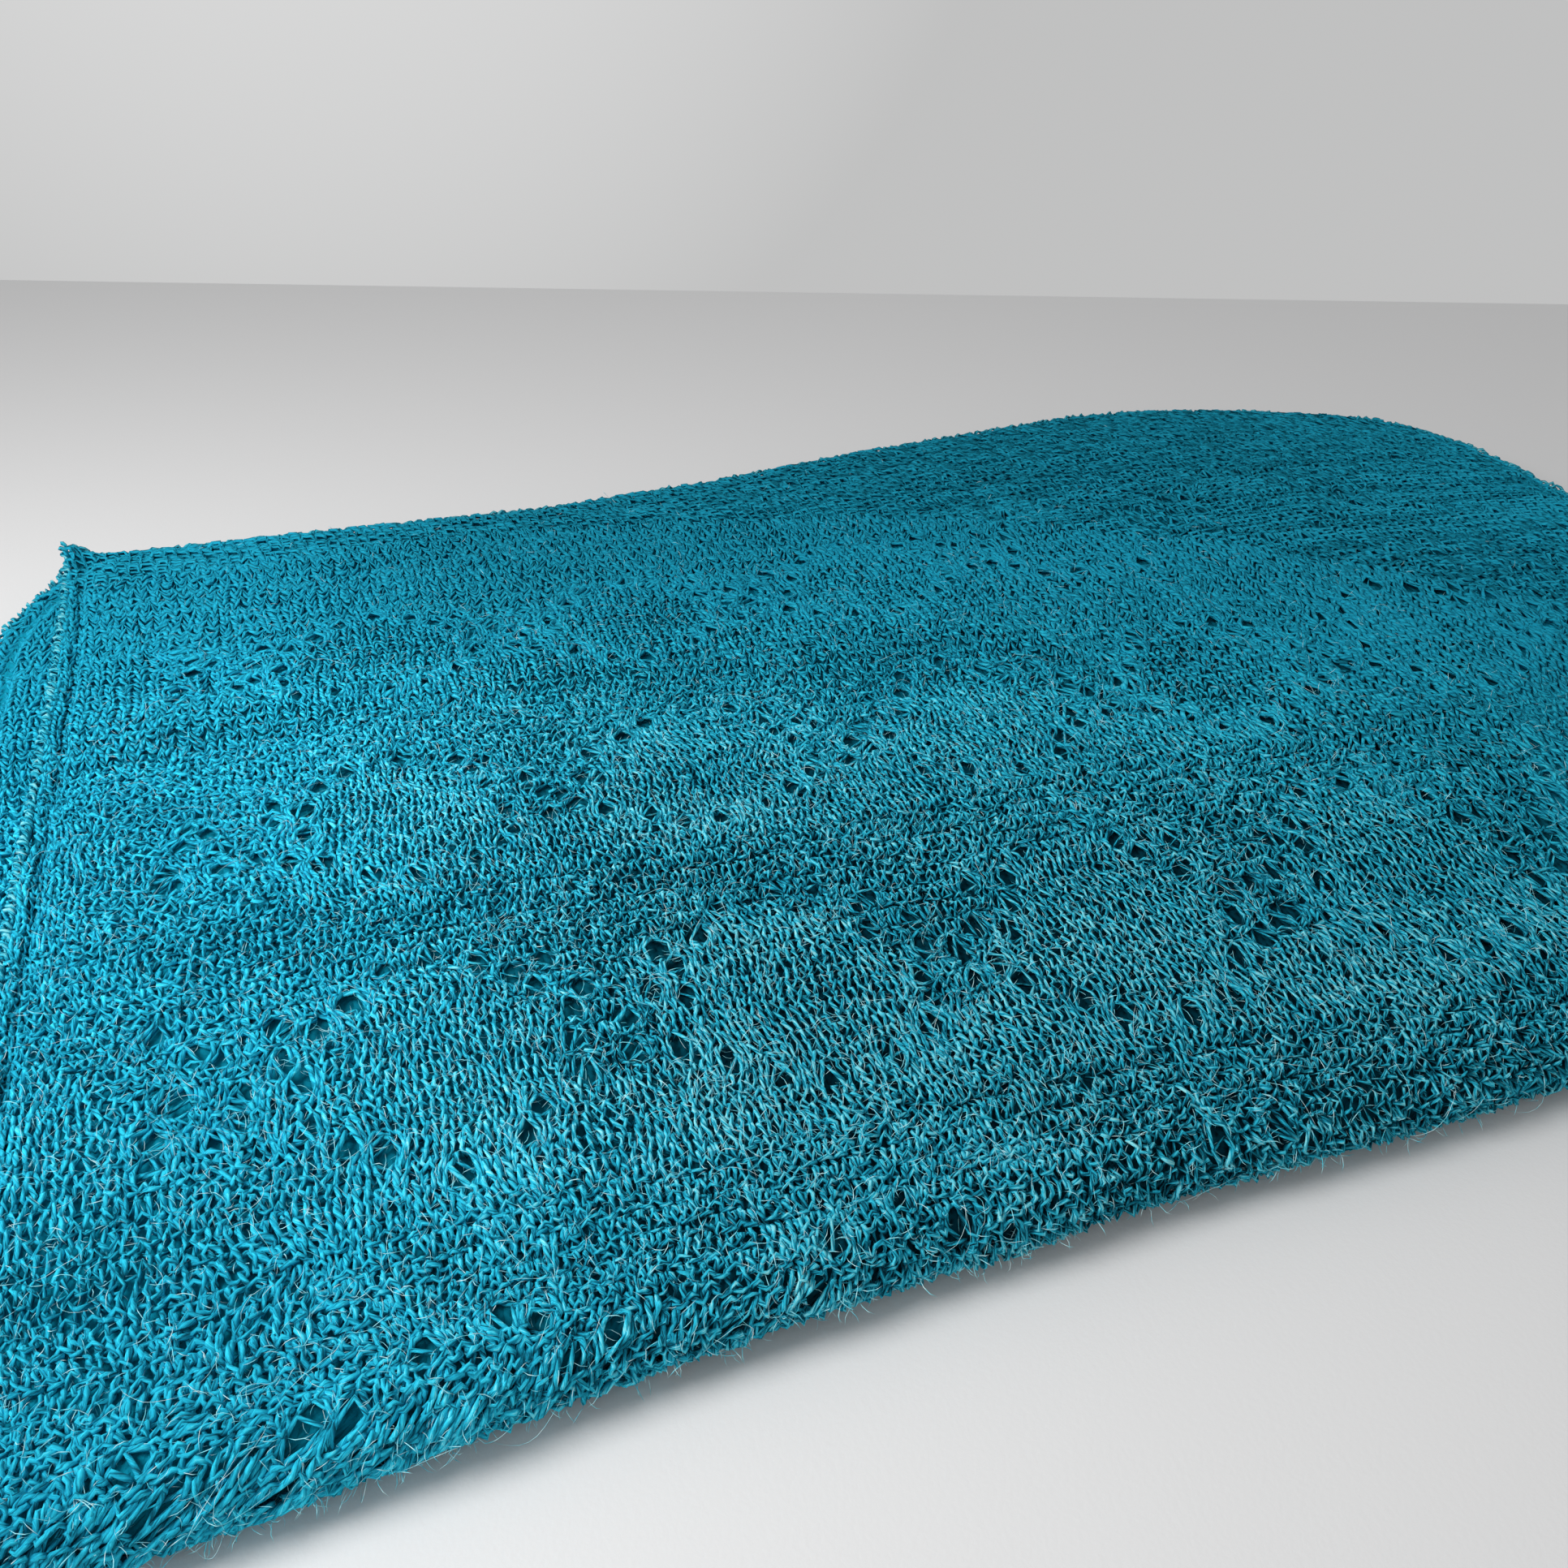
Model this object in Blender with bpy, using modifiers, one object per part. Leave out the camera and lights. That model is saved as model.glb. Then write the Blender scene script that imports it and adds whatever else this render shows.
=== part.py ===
# A wide lace-knit wool scarf, folded in four and lying flat.
#
# One knitted panel runs, in this order: from its bound-off end at the back of the top, forward
# over the top, down round the front fold, back along the table, up round a low back fold,
# forward again inside, up round an inner front fold and back to its cast-on end under the top.
# A stretch of it is laid out as sections, each a row of points from left to right, and is given
# its thickness by Solidify. X runs along the knitted rows, Y to the back, Z up. Metres.

from collections import namedtuple
from math import cos, exp, pi, sin

import bmesh
import bpy
from mathutils import Matrix, Vector

# Driving sizes
STACK = 0.0200  # the folded scarf's thickness
WALL = 0.0034  # one layer of the knitted cloth
LAYER_GAP = 0.0004  # between two layers that touch
SEAM_GAP = 0.0003  # between a panel and its worked edge
FOLD_SEAM = 0.0008  # between two stretches, where a fold is done turning
BEAD = 0.0018  # radius of a worked edge
EDGE = 2 * BEAD + SEAM_GAP  # room that a worked edge takes at the side of its panel
BEAD_TURN = 0.8 * pi  # how far round the front fold a worked edge goes
LIFT_START = 0.35  # share of the depth where the back edge's lift begins
LIFT_FADE = 0.030  # the top is flat at the front fold, and uneven from this far behind it
CORNER_CUT = 0.82  # share of the depth where a lower layer's left edge starts to run in
BACK_FOLD_REACH = 0.0046  # from the outline in to the centre of the low back fold
BACK_FOLD_INSIDE = 0.0035  # the third layer's back edge lies this much inside that centre

COLUMNS = 24  # points across a stretch
ROWS = 16  # sections from the front fold to the back
FOLD_STEPS = 10  # sections round a front fold
BACK_FOLD_STEPS = 5
UNDER_ROWS = 11  # sections of the layer on the table
HIDDEN_ROWS = 13  # points along each side of the hidden layers
HIDDEN_COLUMNS = 16  # points along their front
BEAD_SIDES = 6

EdgePoint = namedtuple("EdgePoint", "x y lift")
# The top's outline seen from above, and how far the cloth rises or sinks there.
FRONT_EDGE = [
    EdgePoint(-0.2700, -0.1868, 0),
    EdgePoint(-0.2000, -0.1848, 0),
    EdgePoint(-0.1320, -0.1836, 0),
    EdgePoint(-0.0500, -0.1850, 0),
    EdgePoint(0.0280, -0.1893, 0),
    EdgePoint(0.1100, -0.1898, 0),
    EdgePoint(0.1800, -0.1880, 0),
    EdgePoint(0.2360, -0.1860, 0),
]
BACK_EDGE = [
    EdgePoint(-0.2700, 0.1895, 0.0000),
    EdgePoint(-0.2000, 0.1845, -0.0004),
    EdgePoint(-0.1450, 0.1815, -0.0010),
    EdgePoint(-0.0920, 0.1790, -0.0017),
    EdgePoint(-0.0330, 0.1810, -0.0010),
    EdgePoint(0.0380, 0.1865, 0.0003),
    EdgePoint(0.0980, 0.1905, 0.0010),
    EdgePoint(0.1460, 0.1930, 0.0012),
    EdgePoint(0.1840, 0.1895, 0.0006),
    EdgePoint(0.2220, 0.1780, 0.0000),
    EdgePoint(0.2600, 0.1570, 0.0000),
]
RIGHT_EDGE = [
    EdgePoint(0.2360, -0.1860, 0),
    EdgePoint(0.2620, -0.1040, 0),
    EdgePoint(0.2810, -0.0190, 0),
    EdgePoint(0.2910, 0.0500, 0),
    EdgePoint(0.2950, 0.0950, 0),
    EdgePoint(0.2900, 0.1220, 0),
    EdgePoint(0.2790, 0.1410, 0),
    EdgePoint(0.2600, 0.1570, 0),
]
LEFT_EDGE = [
    EdgePoint(-0.2700, -0.1868, 0),
    EdgePoint(-0.2700, -0.0800, 0),
    EdgePoint(-0.2690, 0.0200, 0),
    EdgePoint(-0.2685, 0.1100, 0),
    EdgePoint(-0.2700, 0.1895, 0),
]

Hollow = namedtuple("Hollow", "x y depth radius")
# Soft hollows of the top, where the lofty layers below give a little.
HOLLOWS = [
    Hollow(-0.140, 0.020, 0.0007, 0.070),
    Hollow(0.030, -0.070, 0.0006, 0.080),
    Hollow(0.120, 0.070, 0.0008, 0.060),
    Hollow(-0.040, 0.110, 0.0006, 0.050),
]

Layer = namedtuple("Layer", "middle left right back")
# Height of a layer's middle, and how far its edges stand out from the top's outline.
UPPER = Layer(STACK - WALL / 2, -EDGE, -EDGE, -EDGE)
SECOND = Layer(UPPER.middle - WALL - LAYER_GAP, 0.024 - EDGE, -0.004, -0.004)
UNDER = Layer(WALL / 2, 0.021, -0.003, -BACK_FOLD_REACH)
THIRD = Layer(
    UNDER.middle + WALL + LAYER_GAP, 0.019, -0.010, -BACK_FOLD_REACH - BACK_FOLD_INSIDE
)

Level = namedtuple("Level", "height inset")
# Outlines of the hidden layers from the bottom up: the third layer's rounded lip, then a core
# that stands back, because there is air inside the inner fold.
HIDDEN_LEVELS = [
    Level(THIRD.middle - WALL / 2, 0.0016),
    Level(THIRD.middle - WALL / 4, 0.0003),
    Level(THIRD.middle + WALL / 4, 0.0003),
    Level(THIRD.middle + WALL / 2, 0.0016),
    Level(THIRD.middle + WALL / 2 + 0.0004, 0.0140),
    Level(0.0088, 0.0130),
    Level(0.0098, 0.0160),
]

COLORS = {
    "upper_stretch": (0.006, 0.190, 0.270),
    "second_stretch": (0.006, 0.170, 0.245),
    "under_stretch": (0.005, 0.150, 0.215),
    "hidden_layers": (0.004, 0.095, 0.140),
    "selvage_left": (0.010, 0.230, 0.320),
    "selvage_right": (0.010, 0.230, 0.320),
    "second_selvage": (0.009, 0.210, 0.295),
    "bound_off_end": (0.010, 0.220, 0.305),
}
ROUGHNESS = 0.95

collection = bpy.data.collections.new("folded_lace_scarf")


def smooth(value):
    value = min(1.0, max(0.0, value))
    return value * value * (3 - 2 * value)


def shares(count, start=0.0, end=1.0):
    return [start + (end - start) * i / (count - 1) for i in range(count)]


def along(edge, share):
    """A point on the smooth curve through an edge's points, at a share of its length."""
    points = [Vector(point) for point in edge]
    spans = [(b - a).xy.length for a, b in zip(points, points[1:])]
    distance = share * sum(spans)
    span = 0
    while span < len(spans) - 1 and distance > spans[span]:
        distance -= spans[span]
        span += 1
    part = distance / spans[span]
    p1, p2 = points[span], points[span + 1]
    if not 0 <= part <= 1:
        return p1 + (p2 - p1) * part
    p0, p3 = points[max(span - 1, 0)], points[min(span + 2, len(points) - 1)]
    return 0.5 * (
        2 * p1
        + (p2 - p0) * part
        + (2 * p0 - 5 * p1 + 4 * p2 - p3) * part**2
        + (3 * p1 - p0 - 3 * p2 + p3) * part**3
    )


def outline_point(s, t):
    """A point of the top seen from above: s runs left to right, t front to back."""
    front, back = along(FRONT_EDGE, s), along(BACK_EDGE, s)
    left, right = along(LEFT_EDGE, t), along(RIGHT_EDGE, t)
    corners = (
        (1 - s) * (1 - t) * along(FRONT_EDGE, 0)
        + s * (1 - t) * along(FRONT_EDGE, 1)
        + (1 - s) * t * along(BACK_EDGE, 0)
        + s * t * along(BACK_EDGE, 1)
    )
    return (1 - t) * front + t * back + (1 - s) * left + s * right - corners


def depth(s):
    return outline_point(s, 1).y - outline_point(s, 0).y


def width(t):
    return (outline_point(1, t) - outline_point(0, t)).x


def fold_share(s, behind=0.0):
    """The share of the depth where the flat top meets the front fold, or a distance behind that."""
    return (STACK / 2 + behind) / depth(s)


def layer_share(s, t, layer, inset=0.0):
    """The outline's s and t at which a layer has its own s and t, so that its edges stand out."""
    left = layer.left
    if left > 0:
        left *= 1 - smooth((t - CORNER_CUT) / (1 - CORNER_CUT))
    out_x = (layer.right - inset) * smooth(2 * s - 1) - (left - inset) * smooth(1 - 2 * s)
    out_y = (layer.back - inset) * smooth(2 * t - 1)
    return s + out_x / width(t), t + out_y / depth(s)


def across(edge, x):
    """An edge's y and lift straight ahead or behind a place, between its two nearest points."""
    for before, after in zip(edge, edge[1:]):
        if x <= after.x or after is edge[-1]:
            part = smooth((x - before.x) / (after.x - before.x))
            return Vector(before[1:]).lerp(Vector(after[1:]), part)


def relief(point):
    """How far the cloth rises or sinks from flat at a place."""
    front, back = across(FRONT_EDGE, point.x).x, across(BACK_EDGE, point.x)
    behind = point.y - front
    share = behind / (back.x - front)
    lift = back.y * smooth((share - LIFT_START) / (1 - LIFT_START))
    for hollow in HOLLOWS:
        away = ((point.x - hollow.x) ** 2 + (point.y - hollow.y) ** 2) / hollow.radius**2
        lift -= hollow.depth * exp(-away)
    return lift * smooth((behind - STACK / 2) / LIFT_FADE)


def flat_point(s, t, layer, inset=0.0):
    """A point of a layer's middle surface, at its own height and with its own edges."""
    point = outline_point(*layer_share(s, t, layer, inset))
    point.z = layer.middle
    return point


def uneven_point(s, t, layer):
    point = flat_point(s, t, layer)
    point.z += relief(point)
    return point


def fold_point(s, angle, top, bottom):
    """A point of a front fold, from its top layer at no angle to its bottom one at half a turn."""
    upper, lower = flat_point(s, fold_share(s), top), flat_point(s, fold_share(s), bottom)
    radius = (top.middle - bottom.middle) / 2
    point = upper.lerp(lower, smooth(angle / pi))
    point.y -= radius * sin(angle)
    point.z = bottom.middle + radius + radius * cos(angle)
    return point


def folded_sections(top, bottom):
    """Sections of a layer and the front fold that it turns down into, from its far end."""
    sections = [
        [fold_point(s, pi * i / FOLD_STEPS, top, bottom) for s in shares(COLUMNS)]
        for i in range(FOLD_STEPS, 0, -1)
    ]
    for row in shares(ROWS):
        section = []
        for s in shares(COLUMNS):
            start = fold_share(s)
            section.append(uneven_point(s, start + (1 - start) * row, top))
        sections.append(section)
    return sections


def finish(name, mesh):
    """Makes an object of a mesh, with its own material, smooth and in the scarf's collection."""
    material = bpy.data.materials.new(name)
    material.use_nodes = True
    shader = material.node_tree.nodes["Principled BSDF"]
    shader.inputs["Base Color"].default_value = (*COLORS[name], 1)
    shader.inputs["Roughness"].default_value = ROUGHNESS
    shader.inputs["Metallic"].default_value = 0
    mesh.materials.append(material)
    mesh.shade_smooth()
    obj = bpy.data.objects.new(name, mesh)
    collection.objects.link(obj)
    return obj


def loft(name, rings, closed_rings=True, capped=True):
    """A surface over rows of points that have the same count."""
    form = bmesh.new()
    rows = [[form.verts.new(point) for point in ring] for ring in rings]
    count = len(rows[0])
    for first, second in zip(rows, rows[1:]):
        for i in range(count if closed_rings else count - 1):
            j = (i + 1) % count
            form.faces.new((first[i], first[j], second[j], second[i]))
    if capped:
        form.faces.new(rows[0])
        form.faces.new(rows[-1])
    bmesh.ops.recalc_face_normals(form, faces=form.faces)
    mesh = bpy.data.meshes.new(name)
    form.to_mesh(mesh)
    form.free()
    return finish(name, mesh)


def cloth(name, sections):
    """A stretch of cloth of one layer's thickness, on its middle surface."""
    stretch = loft(name, sections, closed_rings=False, capped=False)
    wall = stretch.modifiers.new("wall", "SOLIDIFY")
    wall.thickness = WALL
    wall.offset = 0
    wall.use_even_offset = True
    return stretch


def worked_edge(name, panel_edge, inner_edge):
    """A knitted edge: a round bead laid just outside a panel's edge, square to its run."""
    rings = []
    last = len(panel_edge) - 1
    for i, (point, inner) in enumerate(zip(panel_edge, inner_edge)):
        run = (panel_edge[min(i + 1, last)] - panel_edge[max(i - 1, 0)]).normalized()
        outward = point - inner
        outward = (outward - run * outward.dot(run)).normalized()
        upward = run.cross(outward)
        middle = point + outward * (SEAM_GAP + BEAD)
        turns = [2 * pi * k / BEAD_SIDES for k in range(BEAD_SIDES)]
        rings.append([middle + BEAD * (outward * cos(a) + upward * sin(a)) for a in turns])
    return loft(name, rings)


def column(sections, index):
    return [section[index] for section in sections]


def extended(points, start=0.0, end=0.0):
    """The points with the first and the last moved outwards along the run, or inwards."""
    first = points[0] + (points[0] - points[1]).normalized() * start
    last = points[-1] + (points[-1] - points[-2]).normalized() * end
    return [first, *points[1:-1], last]


def round_fold_only(sections):
    """The sections without those past the turn where a worked edge would meet the table."""
    skipped = sum(1 for i in range(1, FOLD_STEPS + 1) if pi * i / FOLD_STEPS > BEAD_TURN)
    return sections[skipped:]


def upper_stretch():
    """The top layer and the front fold down to the table, with its two sides and its end."""
    sections = folded_sections(UPPER, UNDER)
    cloth("upper_stretch", sections)
    sides = round_fold_only(sections)
    worked_edge("selvage_left", column(sides, 0), column(sides, 1))
    right = extended(column(sides, -1), end=-SEAM_GAP)
    worked_edge("selvage_right", right, extended(column(sides, -2), end=-SEAM_GAP))
    back, inner = sections[-1], sections[-2]
    worked_edge("bound_off_end", extended(back, start=EDGE), extended(inner, start=EDGE))


def second_stretch():
    """The layer under the top, with its inner front fold and the side that stands out."""
    sections = folded_sections(SECOND, THIRD)
    cloth("second_stretch", sections)
    sides = round_fold_only(sections)
    worked_edge("second_selvage", column(sides, 0), column(sides, 1))


def under_stretch():
    """The layer on the table and the low back fold that turns up into the third layer."""
    sections = []
    for row in shares(UNDER_ROWS):
        section = []
        for s in shares(COLUMNS):
            start = fold_share(s, FOLD_SEAM)
            section.append(flat_point(s, start + (1 - start) * row, UNDER))
        sections.append(section)
    back_line = sections[-1]
    radius = (THIRD.middle - UNDER.middle) / 2
    last = len(back_line) - 1
    for i in range(1, BACK_FOLD_STEPS + 1):
        angle = pi * i / BACK_FOLD_STEPS
        rise = Vector((0, 0, radius - radius * cos(angle)))
        section = []
        for k, point in enumerate(back_line):
            run = (back_line[min(k + 1, last)] - back_line[max(k - 1, 0)]).normalized()
            back = Vector((-run.y, run.x, 0))
            section.append(point + back * radius * sin(angle) + rise)
        sections.append(section)
    cloth("under_stretch", sections)


def hidden_outline(level):
    """The outline of the hidden layers at one height, all round."""
    behind = FOLD_SEAM + level.inset
    points = [(0, t) for t in shares(HIDDEN_ROWS, fold_share(0, behind), 1)[:-1]]
    points += [(s, 1) for s in shares(COLUMNS)[:-1]]
    points += [(1, t) for t in shares(HIDDEN_ROWS, 1, fold_share(1, behind))[:-1]]
    points += [(s, fold_share(s, behind)) for s in shares(HIDDEN_COLUMNS, 1, 0)[:-1]]
    outline = [flat_point(s, t, THIRD, level.inset) for s, t in points]
    for point in outline:
        point.z = level.height
    return outline


def hidden_layers():
    """The inner layers as one rounded solid with the third layer's lip."""
    loft("hidden_layers", [hidden_outline(level) for level in HIDDEN_LEVELS])


def centre_on_base():
    """Moves every mesh so that the whole scarf's box stands centred on the origin."""
    bpy.context.view_layer.update()
    graph = bpy.context.evaluated_depsgraph_get()
    corners = [
        Vector(corner) for obj in collection.objects for corner in obj.evaluated_get(graph).bound_box
    ]
    low = [min(corner[axis] for corner in corners) for axis in range(3)]
    high = [max(corner[axis] for corner in corners) for axis in range(3)]
    shift = Vector((-(low[0] + high[0]) / 2, -(low[1] + high[1]) / 2, 0))
    for obj in collection.objects:
        obj.data.transform(Matrix.Translation(shift))


for old in list(bpy.data.objects):
    bpy.data.objects.remove(old, do_unlink=True)
bpy.context.scene.collection.children.link(collection)
upper_stretch()
second_stretch()
under_stretch()
hidden_layers()
centre_on_base()
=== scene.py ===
import math

import bpy
import numpy as np
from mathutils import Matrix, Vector


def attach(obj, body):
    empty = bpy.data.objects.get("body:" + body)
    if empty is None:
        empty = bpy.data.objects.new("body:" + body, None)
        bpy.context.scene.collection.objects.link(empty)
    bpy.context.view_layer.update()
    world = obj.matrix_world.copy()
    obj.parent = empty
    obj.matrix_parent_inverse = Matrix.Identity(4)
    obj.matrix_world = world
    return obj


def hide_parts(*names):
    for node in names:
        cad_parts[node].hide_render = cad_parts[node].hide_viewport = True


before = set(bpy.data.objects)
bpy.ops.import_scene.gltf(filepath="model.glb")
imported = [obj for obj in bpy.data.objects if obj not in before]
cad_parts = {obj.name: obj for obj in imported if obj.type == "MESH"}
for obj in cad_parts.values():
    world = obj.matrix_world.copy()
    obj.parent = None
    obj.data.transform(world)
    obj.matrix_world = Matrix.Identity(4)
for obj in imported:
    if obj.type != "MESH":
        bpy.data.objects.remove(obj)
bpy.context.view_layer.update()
print("frame loaded")

# Outline of the folded top seen from above, as x, y and how far the cloth rises or sinks there
outline = {
    "front": [(-0.270, -0.1868, 0), (-0.200, -0.1848, 0), (-0.132, -0.1836, 0), (-0.050, -0.1850, 0),
              (0.028, -0.1893, 0), (0.110, -0.1898, 0), (0.180, -0.1880, 0), (0.236, -0.1860, 0)],
    "back": [(-0.270, 0.1895, 0), (-0.200, 0.1845, -0.0004), (-0.145, 0.1815, -0.0010),
             (-0.092, 0.1790, -0.0017), (-0.033, 0.1810, -0.0010), (0.038, 0.1865, 0.0003),
             (0.098, 0.1905, 0.0010), (0.146, 0.1930, 0.0012), (0.184, 0.1895, 0.0006),
             (0.222, 0.1780, 0), (0.260, 0.1570, 0)],
    "right": [(0.236, -0.186, 0), (0.262, -0.104, 0), (0.281, -0.019, 0), (0.291, 0.050, 0),
              (0.295, 0.095, 0), (0.290, 0.122, 0), (0.279, 0.141, 0), (0.260, 0.157, 0)],
    "left": [(-0.270, -0.1868, 0), (-0.270, -0.080, 0), (-0.269, 0.020, 0), (-0.2685, 0.110, 0),
             (-0.270, 0.1895, 0)],
    "hollows": [(-0.140, 0.020, 0.0007, 0.070), (0.030, -0.070, 0.0006, 0.080),
                (0.120, 0.070, 0.0008, 0.060), (-0.040, 0.110, 0.0006, 0.050)],  # x, y, depth, radius
    # soft ridges and troughs: both ends, half width and height
    "creases": [((-0.250, 0.030), (-0.030, 0.075), 0.016, 0.0007),
                ((-0.160, -0.060), (0.060, -0.010), 0.014, -0.0006),
                ((-0.060, -0.150), (0.120, -0.105), 0.012, 0.0006),
                ((0.060, 0.020), (0.210, 0.110), 0.018, 0.0007),
                ((-0.210, 0.140), (-0.060, 0.150), 0.010, -0.0007),
                ((0.110, -0.120), (0.240, -0.040), 0.014, -0.0006)],
    "creaseBow": (0.006, 5),           # how far a crease bows aside, and how often in radians
    "tip": (-0.2665, 0.1855, 0.0050),  # the curled back left corner: x, y and radius
    "tipMoved": (-0.0008, 0.0030, 0.0042),
    "moved": (-0.001282, -0.000627),   # brings the scarf's box to the middle of the frame
}
cloth = {
    "stack": 0.0200,      # height of the folded scarf
    "liftStart": 0.35,    # share of the depth where the back edge's lift begins
    "liftFade": 0.030,    # flat this far behind the front fold
    "cornerCut": 0.82,    # a lower layer's left edge runs in from here
    "tightest": 0.0002,   # least height between the halves of a folded layer
}
# Height of a layer's middle, and how far its edges stand out from the outline
upper = {"middle": 0.0183, "left": -0.0039, "right": -0.0039, "back": -0.0039}
second = {"middle": 0.0145, "left": 0.0201, "right": -0.0040, "back": -0.0040}
third = {"middle": 0.0055, "left": 0.0190, "right": -0.0100, "back": -0.0081}
under = {"middle": 0.0017, "left": 0.0210, "right": -0.0030, "back": -0.0046}
edges = {side: np.array(outline[side], float) for side in ("front", "back", "right", "left")}


def smooth(value):
    value = np.clip(value, 0, 1)
    return value * value * (3 - 2 * value)


def along(edge, share):
    # a point of the smooth curve through an edge's points, at a share of its length
    spans = np.linalg.norm(np.diff(edge[:, :2], axis=0), axis=1)
    starts = np.concatenate([[0], np.cumsum(spans)])
    distance = share * starts[-1]
    span = np.clip(np.searchsorted(starts, distance, side="left") - 1, 0, len(spans) - 1)
    part = ((distance - starts[span]) / spans[span])[..., None]
    p0, p1 = edge[np.maximum(span - 1, 0)], edge[span]
    p2, p3 = edge[span + 1], edge[np.minimum(span + 2, len(edge) - 1)]
    curve = 0.5 * (2 * p1 + (p2 - p0) * part + (2 * p0 - 5 * p1 + 4 * p2 - p3) * part**2
                   + (3 * p1 - p0 - 3 * p2 + p3) * part**3)
    return np.where((part < 0) | (part > 1), p1 + (p2 - p1) * part, curve)


def outlinePoint(s, t):
    # s runs left to right, t front to back
    a, b = s[..., None], t[..., None]
    front, back = along(edges["front"], s), along(edges["back"], s)
    left, right = along(edges["left"], t), along(edges["right"], t)
    corners = ((1 - a) * (1 - b) * edges["front"][0] + a * (1 - b) * edges["front"][-1]
               + (1 - a) * b * edges["back"][0] + a * b * edges["back"][-1])
    return (1 - b) * front + b * back + (1 - a) * left + a * right - corners


def depthAt(s):
    return outlinePoint(s, np.ones_like(s))[..., 1] - outlinePoint(s, np.zeros_like(s))[..., 1]


def widthAt(t):
    return outlinePoint(np.ones_like(t), t)[..., 0] - outlinePoint(np.zeros_like(t), t)[..., 0]


def straightTo(edge, x):
    # an edge's y and lift straight ahead of or behind a place
    span = np.clip(np.searchsorted(edge[:, 0], x, side="left") - 1, 0, len(edge) - 2)
    part = smooth((x - edge[span, 0]) / (edge[span + 1, 0] - edge[span, 0]))[..., None]
    return edge[span, 1:] + (edge[span + 1, 1:] - edge[span, 1:]) * part


def relief(x, y):
    front, back = straightTo(edges["front"], x)[..., 0], straightTo(edges["back"], x)
    behind = y - front
    share = behind / (back[..., 0] - front)
    lift = back[..., 1] * smooth((share - cloth["liftStart"]) / (1 - cloth["liftStart"]))
    for hollowX, hollowY, deep, radius in outline["hollows"]:
        lift = lift - deep * np.exp(-((x - hollowX) ** 2 + (y - hollowY) ** 2) / radius**2)
    bowed, often = outline["creaseBow"]
    for (x1, y1), (x2, y2), half, height in outline["creases"]:
        runX, runY = x2 - x1, y2 - y1
        part = np.clip(((x - x1) * runX + (y - y1) * runY) / (runX**2 + runY**2), 0, 1)
        bow = bowed * np.sin(part * often)
        away = np.hypot(x - x1 - part * runX, y - y1 - part * runY - bow) / half
        lift = lift + height * np.exp(-away**2) * np.sin(math.pi * np.clip(part, 0.08, 0.92))
    return lift * smooth((behind - cloth["stack"] / 2) / cloth["liftFade"])


def cornerCurl(point):
    # the back left corner of the top turns up a little
    tipX, tipY, radius = outline["tip"]
    close = np.exp(-((point[..., 0] - tipX) ** 2 + (point[..., 1] - tipY) ** 2) / radius**2)
    return close[..., None] * np.array(outline["tipMoved"])


def flatPoint(s, t, layer):
    left = layer["left"]
    if left > 0:
        left = left * (1 - smooth((t - cloth["cornerCut"]) / (1 - cloth["cornerCut"])))
    outX = layer["right"] * smooth(2 * s - 1) - left * smooth(1 - 2 * s)
    outY = layer["back"] * smooth(2 * t - 1)
    point = outlinePoint(s + outX / widthAt(t), t + outY / depthAt(s))
    point[..., 2] = layer["middle"]
    return point


def foldedPoint(s, t, top, bottom):
    # the top layer behind the fold line, round the front fold below it, and on along the bottom
    deep = depthAt(s)
    start = cloth["stack"] / 2 / deep
    radius = max(top["middle"] - bottom["middle"], cloth["tightest"]) / 2
    flat = flatPoint(s, np.maximum(t, start), top)
    if top is upper or top is second:
        flat[..., 2] += relief(flat[..., 0], flat[..., 1])
    if top is upper:
        flat += cornerCurl(flat)
    turned = np.maximum(start - t, 0) * deep / radius
    angle = np.minimum(turned, math.pi)
    beyond = start + np.maximum(turned - math.pi, 0) * radius / deep
    part = smooth(angle / math.pi)[..., None]
    bent = flatPoint(s, start, top) * (1 - part) + flatPoint(s, beyond, bottom) * part
    bent[..., 1] -= radius * np.sin(angle)
    bent[..., 2] = bottom["middle"] + radius + radius * np.cos(angle)
    point = np.where((t < start)[..., None], bent, flat)
    point[..., :2] += outline["moved"]
    return point


def panelNet(top, bottom, steps, tLow):
    # places on a panel's middle, at even shares of its width and depth
    s, t = np.meshgrid(np.linspace(0, 1, steps[0]), np.linspace(tLow, 1, steps[1]), indexing="ij")
    return foldedPoint(s, t, top, bottom)


def facingOf(places):
    # the direction that the cloth's face looks at each place
    facing = np.cross(np.gradient(places, axis=0), np.gradient(places, axis=1))
    return facing / np.linalg.norm(facing, axis=2, keepdims=True)


def layPanel(top, bottom, steps, tLow):
    places = panelNet(top, bottom, steps, tLow)
    return {"places": places, "facing": facingOf(places), "tLow": tLow}


def cellOf(place, count):
    return np.clip(np.floor(place).astype(int), 0, count - 2)


def between(values, i, j, a, b):
    # a net's value inside one of its cells, at shares a and b of the cell
    return ((values[i, j] * (1 - a) + values[i + 1, j] * a) * (1 - b)
            + (values[i, j + 1] * (1 - a) + values[i + 1, j + 1] * a) * b)


def onPanel(panel, s, t, lift):
    # places on a panel at shares s and t, moved out along its facing
    count = panel["places"].shape
    i = s * (count[0] - 1)
    j = (t - panel["tLow"]) / (1 - panel["tLow"]) * (count[1] - 1)
    i0, j0 = cellOf(i, count[0]), cellOf(j, count[1])
    a, b = (i - i0)[..., None], (j - j0)[..., None]
    return (between(panel["places"], i0, j0, a, b)
            + between(panel["facing"], i0, j0, a, b) * lift[..., None])


def addObject(name, data):
    obj = bpy.data.objects.new(name, data)
    bpy.context.scene.collection.objects.link(obj)
    return obj


def tellTriangles(obj):
    obj.data.calc_loop_triangles()
    print(obj.name, len(obj.data.loop_triangles), "triangles")


# Node helpers

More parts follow.
